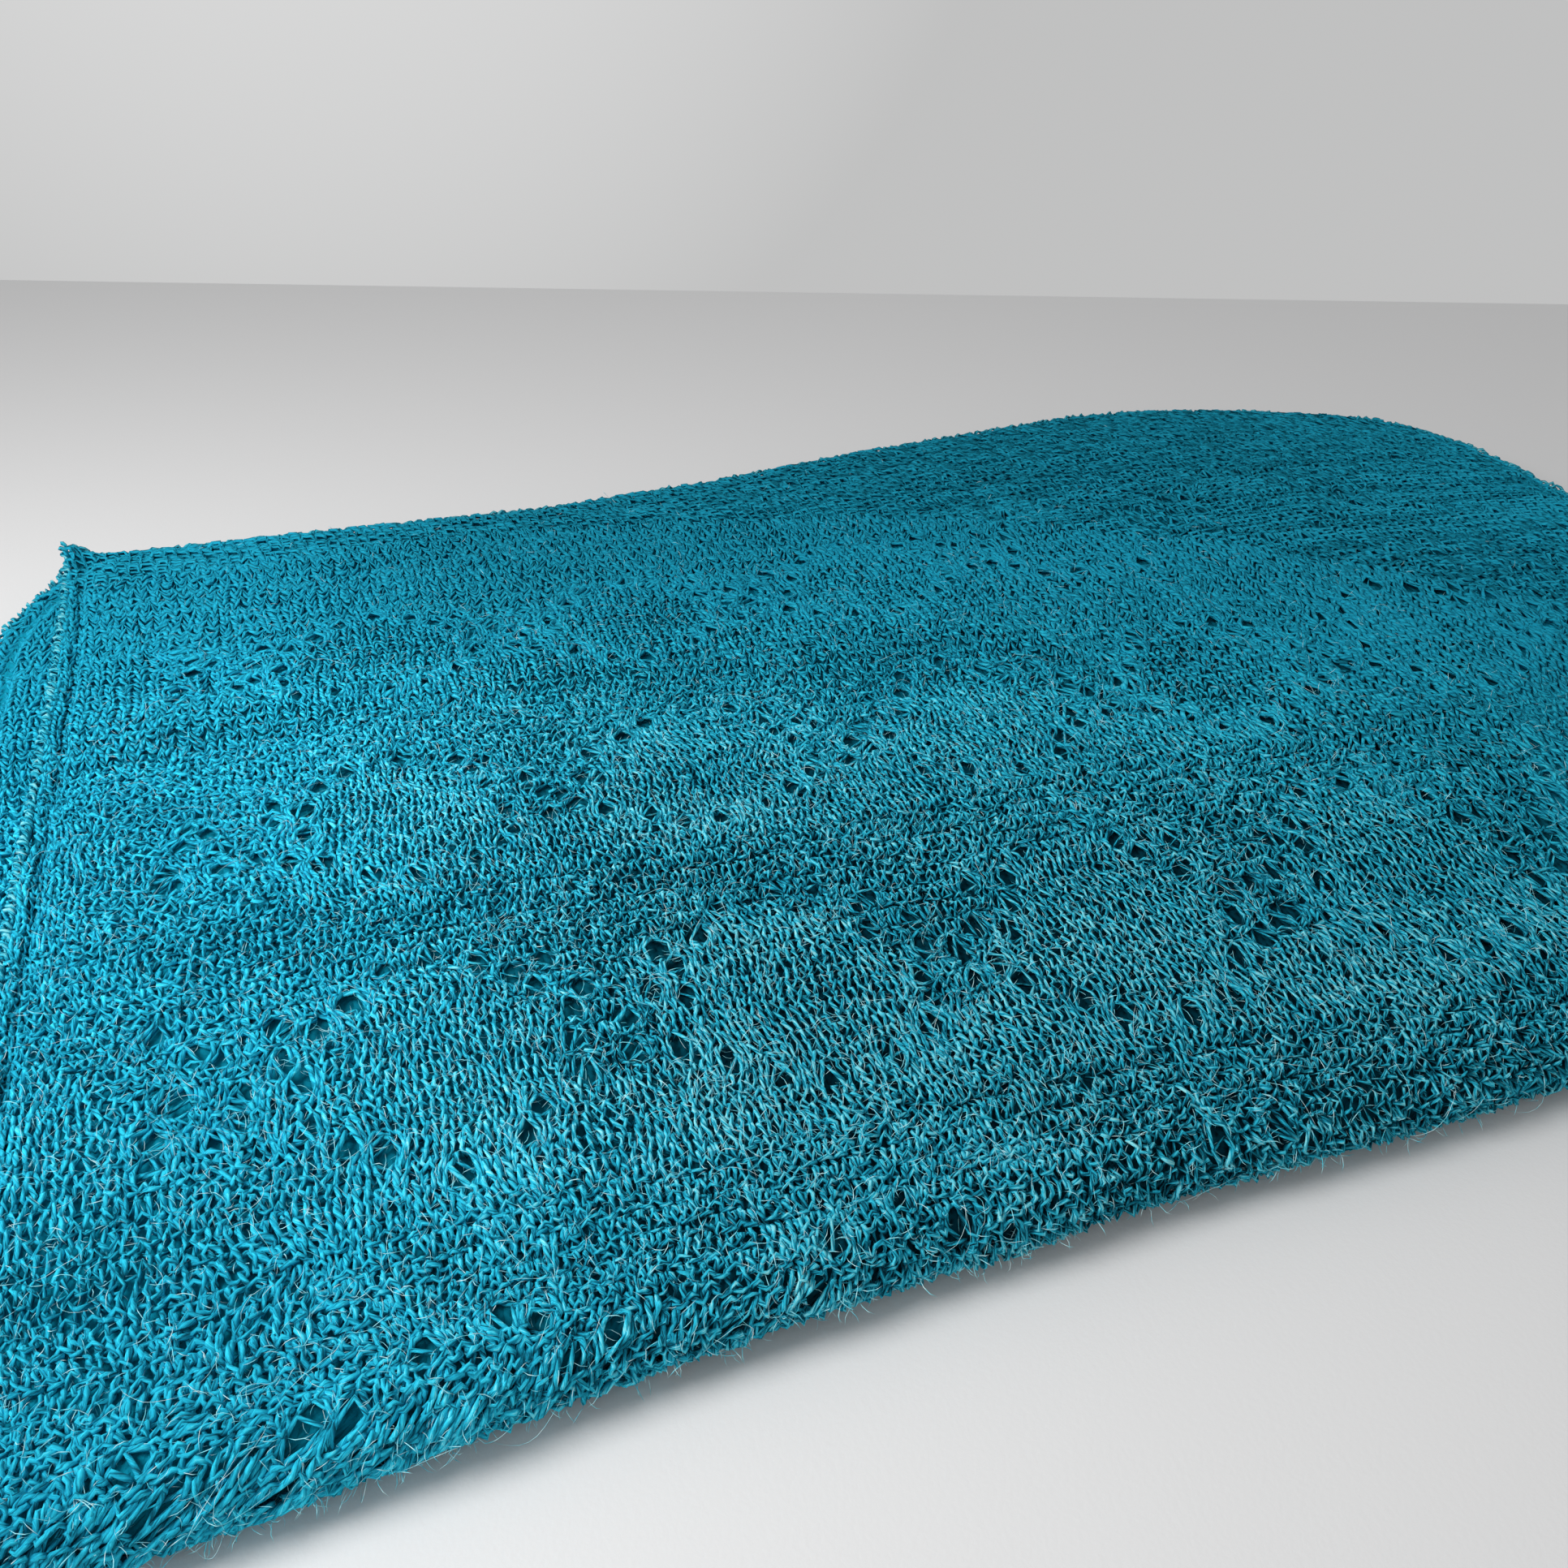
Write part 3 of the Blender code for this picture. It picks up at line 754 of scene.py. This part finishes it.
def knitRows(panel, rows, stitchRange, reach, chance, holes, plainest=0):
    # the strand of each row, as runs of points that can become tubes
    wide, high = knit["width"] / knit["stitches"], knit["depth"] / knit["rows"]
    stitches = np.arange(*stitchRange)
    waves, slow, swell = (softNoise(chance, cell) for cell in ((5, 4), (15, 9), (7, 6)))
    isHole = {(int(a), int(b)) for a, b in holes}
    besideHole = {(a + i, b + j) for a, b in isHole for i in (-1, 0, 1) for j in (-1, 0, 1)}
    odd = oddStitches(panel, chance)
    runs = []
    for row in range(*rows):
        footX, footY, footZ = (chance.normal(0, 1, len(stitches) + 1) for _ in range(3))
        headX, headY, headZ = (chance.normal(0, 1, len(stitches)) for _ in range(3))
        wideJitter, highJitter, deepJitter = (chance.normal(0, 1, len(stitches)) for _ in range(3))
        s, t = shareOfRow(stitches + 0.5, row)
        middle = onPanel(panel, s, t, np.zeros_like(s))
        far = fromEye(middle)
        level = np.searchsorted((knit["nearest"], knit["nearest"], knit["middle"], knit["farthest"]), far)
        seen = inPicture(middle)
        level = np.maximum(np.where(seen, level, 4), plainest)
        beside = np.array([(stitch, row) in besideHole for stitch in stitches])
        level = np.where(seen & beside & (far < knit["holesClear"]), np.minimum(level, 1), level)
        face, above = chartFaces(stitches, row, odd), chartFaces(stitches, row + 1, odd)
        softHere = np.where(seen, softAt(middle), knit["unseenSoft"])
        for start, end in unbroken(t > reach(s), level == 0):
            angles = [strandAngles[level[k]] for k in range(start, end + 1)]
            k = np.concatenate([np.repeat(np.arange(start, end + 1), [len(some) for some in angles]), [end]])
            angle = np.concatenate([*angles, [math.tau]])
            rising = (1 - np.cos(angle)) / 2
            foot = np.where(angle < math.pi, k, k + 1)
            soft = softHere[k]
            spread = knit["loopWide"] * (1 + knit["looser"] * wideJitter[k])
            hole = np.array([(int(stitches[i]), row) in isHole for i in k])
            spread = np.where(hole, -0.35 * spread, spread)
            x = stitches[k] + angle / math.tau + spread * np.sin(2 * angle)
            x = x + knit["strayX"] * (footX[foot] * (1 - rising) + headX[k] * rising)
            y = row - knit["loopHigh"] * (1 + knit["taller"] * highJitter[k]) * np.cos(angle)
            y = y + knit["strayY"] * (footY[foot] * (1 - rising) + headY[k] * rising)
            x = x + knit["wander"] * waves(x, y)
            y = y + knit["sway"] * (0.6 * slow(x, y) + 0.6 * waves(x + 60, y))
            front = inFront(face[k], above[k], np.where(angle < math.pi, angle, math.tau - angle) / math.pi)
            lift = knit["loopDeep"] * front * (1 + knit["deeper"] * deepJitter[k])
            lift = lift + knit["strayZ"] * (footZ[foot] * (1 - rising) + headZ[k] * rising)
            garter = np.where(face[k] * above[k] < 0, knit["garterRise"] * np.where(front > 0, 1, -1), 0)
            lift = lift + garter * (1 + 0.6 * swell(x, y)) + knit["swell"] * swell(x + 3, y + 5)
            lift = lift * (1 - knit["farFlat"] * soft)
            grooveAt, grooveHalf, grooveDeep = knit["edgeGroove"]
            lift = lift - grooveDeep * np.exp(-((x - grooveAt) / grooveHalf) ** 2)
            if len(holes):
                x, y = pushFromHoles(x, y, holes, wide, high)
            places = onPanel(panel, *shareOfRow(x, y), lift)
            places = places + knit["crimp"] * chance.normal(0, 1, (len(k), 3))
            slim, slimTo, slimEnd = knit["slimNear"]
            pointed, slowly = knit["uneven"]
            thick = knit["thick"] * (1 + pointed * chance.normal(0, 1, len(k)) + slowly * swell(x + 31, y))
            thick = thick * np.interp(far[start:end + 1].mean(), (slimTo, slimEnd), (slim, 1))
            thick = thick * (1 + knit["farSwell"] * soft)
            # rise paints the strand lighter where it stands out and darker where it sinks: painted shade
            rise = np.clip(0.5 + lift / 0.0022, 0, 1)
            runs.append(finishRun(places, thick, rise, row, 4 if level[end] == 0 else 3))
    return runs


def strandPiece(name, runs, sides, material):
    # one piece from many strands: lines of points with their attributes, made tubes by the tree
    points = np.concatenate([run["points"] for run in runs])
    radii = np.concatenate([run["thick"] for run in runs])
    points[:, 2] = np.maximum(points[:, 2], np.maximum(radii, knit["thick"]))
    index = np.arange(len(points))
    links = np.stack([index[:-1], index[1:]], axis=1)
    links = links[~np.isin(links[:, 0], np.cumsum([len(run["points"]) for run in runs]) - 1)]
    mesh = bpy.data.meshes.new(name)
    mesh.vertices.add(len(points))
    mesh.vertices.foreach_set("co", points.astype(np.float32).ravel())
    mesh.edges.add(len(links))
    mesh.edges.foreach_set("vertices", links.astype(np.int32).ravel())
    for label in ("thick", "run", "rise", "near", "soft"):
        values = np.concatenate([run.get(label, np.zeros(len(run["run"]))) for run in runs])
        attribute = mesh.attributes.new(label, "FLOAT", "POINT")
        attribute.data.foreach_set("value", values.astype(np.float32))
    mesh.update()
    obj = addObject(name, mesh)
    runTree(obj, strandTree, {"Sides": sides, "Thickness": 1.0, "Yarn": material})
    tellTriangles(obj)
    return obj


def shareOut(runs, most):
    # the runs in groups of at most so many triangles
    groups, total = [[]], 0
    for run in runs:
        if total + run["triangles"] > most:
            groups.append([])
            total = 0
        groups[-1].append(run)
        total += run["triangles"]
    return groups


def foldEnd(s):
    # the share t where the front fold has turned half round
    radius = (upper["middle"] - under["middle"]) / 2
    return (cloth["stack"] / 2 - math.pi * radius) / depthAt(s)


def secondEnd(s):
    return (cloth["stack"] / 2 - knit["secondTurn"]) / depthAt(s)


chance = np.random.default_rng(11)
allRows = (knit["firstRow"], knit["rows"])
upperPanel = layPanel(upper, under, (241, 361), -0.12)
eyelets = chartEyelets(chance)
runs = knitRows(upperPanel, allRows, (0, knit["stitches"]), foldEnd, chance, eyelets)
print("rows knitted, with", len(eyelets), "eyelets")
upperPieces = []
for name, sides in (("closeRows", 4), ("farRows", 3)):
    groups = shareOut([run for run in runs if run["sides"] == sides], knit["most"])
    for number, group in enumerate(groups):
        upperPieces.append(strandPiece(f"{name}{number + 1}", group, sides, woolYarn))

# The layer below shows along the left, so its first stitches are knitted too
secondPanel = layPanel(second, third, (241, 361), -0.12)
secondRows = strandPiece("secondRows", knitRows(
    secondPanel, allRows, (0, 10), secondEnd, chance, np.zeros((0, 2)), plainest=1), 3, woolYarn)


def shell(name, places, sink, wall, material):
    # a closed thin shell on a net of places, with u and v in metres of knitting
    facing = facingOf(places)
    points = np.concatenate([(places + facing * depth).reshape(-1, 3) for depth in (sink, sink - wall)])
    m, n = places.shape[:2]
    runT = np.concatenate([[0], np.cumsum(np.linalg.norm(np.diff(places[m // 2], axis=0), axis=1))])
    quads, uvs = [], []

    def addQuad(corners):
        # each corner is its steps across and along, and whether it is on the back
        quads.append([behind * m * n + i * n + j for i, j, behind in corners])
        uvs.extend((i / (m - 1) * knit["width"], runT[j]) for i, j, behind in corners)
    for i in range(m - 1):
        for j in range(n - 1):
            square = [(i, j), (i + 1, j), (i + 1, j + 1), (i, j + 1)]
            addQuad([(*corner, 0) for corner in square])
            addQuad([(*corner, 1) for corner in square[::-1]])
    rim = ([(i, 0) for i in range(m - 1)] + [(m - 1, j) for j in range(n - 1)]
           + [(i, n - 1) for i in range(m - 1, 0, -1)] + [(0, j) for j in range(n - 1, 0, -1)])
    for here, there in zip(rim, rim[1:] + rim[:1]):
        addQuad([(*here, 1), (*there, 1), (*there, 0), (*here, 0)])
    mesh = bpy.data.meshes.new(name)
    mesh.from_pydata(points.tolist(), [], quads)
    mesh.uv_layers.new(name="UVMap").data.foreach_set("uv", np.array(uvs, np.float32).ravel())
    mesh.materials.append(material)
    # the rim takes the near-black painted shade
    mesh.materials.append(paintedShadeCloth)
    mesh.polygons.foreach_set("material_index", [0] * (len(quads) - len(rim)) + [1] * len(rim))
    mesh.shade_smooth()
    mesh.validate()
    return addObject(name, mesh)


# Where the layers begin, as shares of the depth: the under cloth lies behind the rows that come round
# the front fold
foldLow = float(foldEnd(np.array([0.5]))[0])
secondStart = float((cloth["stack"] / 2 / depthAt(np.array([0.5])))[0])
begins = {"second": secondStart - 0.036, "under": secondStart + 0.030, "third": secondStart + 0.02}
walls = {"upper": (-0.0016, 0.0003), "second": (-0.0008, 0.0009), "plain": (0.0014, 0.0028)}  # sink, wall


def underPlaces(steps, foldSteps):
    # the layer on the table, and the low back fold that it turns up into
    flat = panelNet(under, under, steps, begins["under"])
    line = flat[:, -1]
    run = np.gradient(line, axis=0)
    run /= np.linalg.norm(run, axis=1, keepdims=True)
    back = np.stack([-run[:, 1], run[:, 0], np.zeros(len(run))], axis=1)
    radius = (third["middle"] - under["middle"]) / 2
    turned = [line + back * radius * math.sin(angle) + np.array((0, 0, radius - radius * math.cos(angle)))
              for angle in np.linspace(0, math.pi, foldSteps + 1)[1:]]
    return np.concatenate([flat, np.stack(turned, axis=1)], axis=1)


# the upper and second sheets carry the near-black painted shade seen between the stitches and through the
# eyelets
upperShadeSheet = shell("upperShadeSheet", panelNet(upper, under, (65, 54), foldLow), *walls["upper"], paintedShadeCloth)
secondShadeSheet = shell("secondShadeSheet", panelNet(second, third, (60, 40), begins["second"]),
                    *walls["second"], paintedShadeCloth)
underCloth = shell("underCloth", underPlaces((60, 20), 9), *walls["plain"], knitCloth)
hiddenCloth = shell("hiddenCloth", panelNet(third, third, (50, 20), begins["third"]),
                    *walls["plain"], knitCloth)
print("cloth laid")

# Worked edges: two strands that wind round a line beside the panel
edgeLook = {"radius": 0.0010, "pitch": 0.0064, "thick": 0.00068, "out": 0.0012, "drop": 0.0003,
            "perPitch": 7, "strands": 2, "unevenTurn": 0.9, "unevenWide": 0.35, "crimp": 0.00018,
            "unevenThick": 0.16}
backLook = {**edgeLook, "radius": 0.0007, "pitch": 0.0072, "out": 0.0003, "drop": 0.0006}
lowLook = {**edgeLook, "radius": 0.0009, "pitch": 0.0078, "thick": 0.00078, "out": 0.0004, "drop": 0.0,
           "perPitch": 5}


def edgeRope(name, line, facing, look, sides):
    lengths = np.concatenate([[0], np.cumsum(np.linalg.norm(np.diff(line, axis=0), axis=1))])
    count = int(lengths[-1] / look["pitch"] * look["perPitch"])
    distance = np.linspace(0, lengths[-1], count)
    middle, up = (np.stack([np.interp(distance, lengths, values[:, k]) for k in range(3)], axis=1)
                  for values in (line, facing))
    forward = np.gradient(middle, axis=0)
    forward /= np.linalg.norm(forward, axis=1, keepdims=True)
    side = np.cross(forward, up)
    side /= np.linalg.norm(side, axis=1, keepdims=True)
    strands = []
    for strand in range(look["strands"]):
        knots = np.linspace(0, lengths[-1], count // 5)
        uneven = np.interp(distance, knots, chance.normal(0, 1, count // 5))
        turn = math.tau * (distance / look["pitch"] + strand / look["strands"]) + look["unevenTurn"] * uneven
        wide = look["radius"] * (1 + look["unevenWide"] * uneven[::-1])
        points = middle + wide[:, None] * (np.cos(turn)[:, None] * side + np.sin(turn)[:, None] * up)
        points = points + chance.normal(0, look["crimp"], points.shape)
        thicks = look["thick"] * (1 + look["unevenThick"] * chance.normal(0, 1, count))
        thicks[[0, -1]] = 0
        run = np.concatenate([[0], np.cumsum(np.linalg.norm(np.diff(points, axis=0), axis=1))])
        # rise paints the rope's strands lighter where they turn upwards and darker where they turn down:
        # painted shade
        strands.append({"points": points, "thick": thicks, "run": run + strand * 3.3,
                        "rise": 0.5 + 0.5 * np.sin(turn)})
    return strandPiece(name, strands, sides, edgeYarn)


def workEdge(name, top, bottom, side, shares, look, sides):
    # the line beside a panel's edge, moved outwards from the panel and curled under its face
    fixed = np.full(len(shares), 0.0 if side == "left" else 1.0)
    s, t = (shares, fixed) if side == "back" else (fixed, shares)
    places = foldedPoint(s, t, top, bottom)
    outward = places - foldedPoint(np.clip(s, 0.01, 0.99), np.minimum(t, 0.99), top, bottom)
    outward /= np.linalg.norm(outward, axis=1, keepdims=True)
    panel = layPanel(top, bottom, (61, 121), -0.10)
    facing = onPanel(panel, s, t, np.ones_like(s)) - onPanel(panel, s, t, np.zeros_like(s))
    return edgeRope(name, places + outward * look["out"] - facing * look["drop"], facing, look, sides)


down = np.linspace(foldLow + 0.012, 1.0, 260)
lowDown = np.linspace(begins["third"], 0.997, 200)
ropes = {name: workEdge(name, *how) for name, *how in (
    ("leftSelvage", upper, under, "left", down, edgeLook, 4),
    ("rightSelvage", upper, under, "right", down, edgeLook, 3),
    ("boundOffEnd", upper, under, "back", np.linspace(0, 1, 300), backLook, 3),
    ("secondSelvage", second, third, "left", down, edgeLook, 3),
    ("secondRight", second, third, "right", lowDown, lowLook, 3),
    ("castOnEnd", second, third, "back", lowDown, lowLook, 3),
    ("thirdLeft", third, third, "left", lowDown, lowLook, 3),
    ("thirdRight", third, third, "right", lowDown, lowLook, 3),
    ("underLeft", under, under, "left", lowDown, lowLook, 3),
    ("underRight", under, under, "right", lowDown, lowLook, 3))}
print("edges worked")

# Loose fibres on the near rows
halo = {"Density": 172000.0, "Length": 0.0048, "Thickness": 0.000095, "Lean low": 0.85, "Lean": 1.5,
        "Seed": 7, "Fibre": looseFibre, "Bends": 2}
haloLow = {"lowest": 0.0003, "pressed": 0.05}  # fibres that reach lower than this are pressed to it


def layOnTable(mesh):
    # fibres that would go through the table lie on it, pressed to a small share of their depth
    places = np.empty(len(mesh.vertices) * 3, np.float32)
    mesh.vertices.foreach_get("co", places)
    places = places.reshape(-1, 3)
    places[:, 2] += np.minimum(places[:, 2] - haloLow["lowest"], 0) * (haloLow["pressed"] - 1)
    mesh.vertices.foreach_set("co", places.ravel())
    mesh.update()


haloPieces = []
for piece in upperPieces:
    furry = addObject(piece.name.replace("Rows", "Halo"), piece.data.copy())
    runTree(furry, haloTree, halo)
    layOnTable(furry.data)
    tellTriangles(furry)
    haloPieces.append(furry)

hairLook = {
    "count": 420, "thick": 0.000045, "uneven": (0.7, 1.2), "steps": 11,
    "across": (0.02, 0.75), "along": (-0.045, 0.75),  # shares of the panel where they lie
    "clear": (0.30, 2.5),                             # fewer beyond this distance, by this power
    "lengths": (0.006, 0.019), "wavy": 0.16, "curled": 0.20,
    "lowest": 0.0012, "arched": (0.0004, 0.0030),
}


def strayHairs(look):
    # long single hairs that lie loosely over the cloth, each a curved line
    hairs = []
    steps = look["steps"]
    arch = np.sin(np.linspace(0, math.pi, steps))
    clear, power = look["clear"]
    while len(hairs) < look["count"]:
        s, t = chance.uniform(*look["across"]), chance.uniform(*look["along"])
        start = onPanel(upperPanel, np.array([s]), np.array([t]), np.array([0.001]))
        if chance.uniform() > (clear / fromEye(start)[0]) ** power or not inPicture(start)[0]:
            continue
        length = chance.uniform(*look["lengths"])
        heading = chance.uniform(0, math.tau) + np.cumsum(
            chance.normal(0, look["wavy"], steps) + chance.normal(0, look["curled"]))
        dx = np.cumsum(np.cos(heading)) * length / steps
        dy = np.cumsum(np.sin(heading)) * length / steps
        lift = look["lowest"] + arch * chance.uniform(*look["arched"])
        points = onPanel(upperPanel, s + dx / knit["width"], t + dy / knit["depth"], lift)
        thick = look["thick"] * chance.uniform(*look["uneven"]) * arch ** 0.5
        thick[[0, -1]] = 0
        hairs.append({"points": points, "thick": thick, "run": np.linspace(0, length, steps)})
    return hairs


haloPieces.append(strandPiece("longHairs", strayHairs(hairLook), 3, paleHair))
print("loose fibres scattered")

pieces = {
    "upper_stretch": [upperShadeSheet, *upperPieces, *haloPieces],
    "second_stretch": [secondShadeSheet, secondRows, ropes["secondRight"], ropes["castOnEnd"]],
    "under_stretch": [underCloth, ropes["underLeft"], ropes["underRight"]],
    "hidden_layers": [hiddenCloth, ropes["thirdLeft"], ropes["thirdRight"]],
    "selvage_left": [ropes["leftSelvage"]],
    "selvage_right": [ropes["rightSelvage"]],
    "second_selvage": [ropes["secondSelvage"]],
    "bound_off_end": [ropes["boundOffEnd"]],
}
for node, group in pieces.items():
    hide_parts(node)
    for piece in group:
        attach(piece, "root")

# The table top ends at the line that the photograph shows, and the pale room is behind it
stageLook = {
    "floor": (0.785, 0.785, 0.785, 1), "farLine": ((0, 345), (1932, 375)),  # in the picture's pixels
    "floorAside": 1.6, "floorDeep": 3.2,
    "room": (0.53, 0.532, 0.532), "above": (0.475, 0.475, 0.477),
    "glow": (0.17, 0.17, 0.17), "glowTowards": (0.06, 0.98, 0.12),
    "light": ((-0.58, -0.12, 0.46), (-0.10, 0, 0), 0.30, 3.4),  # place, target, size and power
}


def pixelOnFloor(x, y):
    # where the camera's ray through a picture place meets the table
    forward, right = (Vector(axis) for axis in cameraAxes())
    half = camera["picture"] / 2
    pixels = camera["picture"] * camera["lens"] / camera["sensor"]
    ray = forward + right * ((x - half) / pixels) + right.cross(forward) * ((half - y) / pixels)
    start = Vector(camera["place"])
    return start + ray * (-start.z / ray.z)


def makeFloor(look):
    a, b = (pixelOnFloor(*end) for end in look["farLine"])
    level = (b - a).normalized()
    farLeft, farRight = a - level * look["floorAside"], b + level * look["floorAside"]
    towards = Vector((level.y, -level.x, 0)) * look["floorDeep"]
    mesh = bpy.data.meshes.new("tableTop")
    corners = [farLeft + towards, farRight + towards, farRight, farLeft]
    mesh.from_pydata([tuple(corner) for corner in corners], [], [(0, 1, 2, 3)])
    floor = addObject("tableTop", mesh)
    material, tree, shader = newMaterial("paleTable", {
        "Base Color": look["floor"], "Roughness": 0.75, "Specular IOR Level": 0.25})
    addBump(shader, 0.12, 0.0004, noise(objectPlace(tree), 900.0, 2.0))
    mesh.materials.append(material)


def makeRoom(look):
    # a pale room, darker overhead, with a soft glow on its far wall
    world = bpy.data.worlds.new("room")
    bpy.context.scene.world = world
    world.use_nodes = True
    tree = world.node_tree
    towards = made(tree, "ShaderNodeTexCoord", output="Generated")
    walls = rampNode(split(towards)["Z"], [(0.12, look["room"]), (0.55, look["above"])])
    ahead = made(tree, "ShaderNodeVectorMath", {
        0: towards, 1: Vector(look["glowTowards"]).normalized()}, "Value", operation="DOT_PRODUCT")
    glow = rampNode(ahead, [(0.90, (0, 0, 0)), (1.0, look["glow"])])
    tree.links.new(vectorNode("ADD", walls, glow), tree.nodes["Background"].inputs["Color"])


def makeLight(place, target, size, power):
    light = bpy.data.lights.new("softLight", "AREA")
    light.shape, light.size, light.energy = "DISK", size, power
    obj = addObject("softLight", light)
    obj.location = place
    obj.rotation_euler = (Vector(target) - Vector(place)).to_track_quat("-Z", "Y").to_euler()


makeFloor(stageLook)
makeLight(*stageLook["light"])
makeRoom(stageLook)

cameraData = bpy.data.cameras.new("photoCamera")
cameraData.lens, cameraData.sensor_width = camera["lens"], camera["sensor"]
cameraData.clip_start = 0.01
cameraObject = addObject("photoCamera", cameraData)
cameraObject.location = camera["place"]
cameraObject.rotation_euler = (math.radians(90 - camera["down"]), 0, -math.radians(camera["heading"]))
bpy.context.scene.camera = cameraObject
bpy.context.scene.view_settings.view_transform = "Standard"
print("camera and light set")
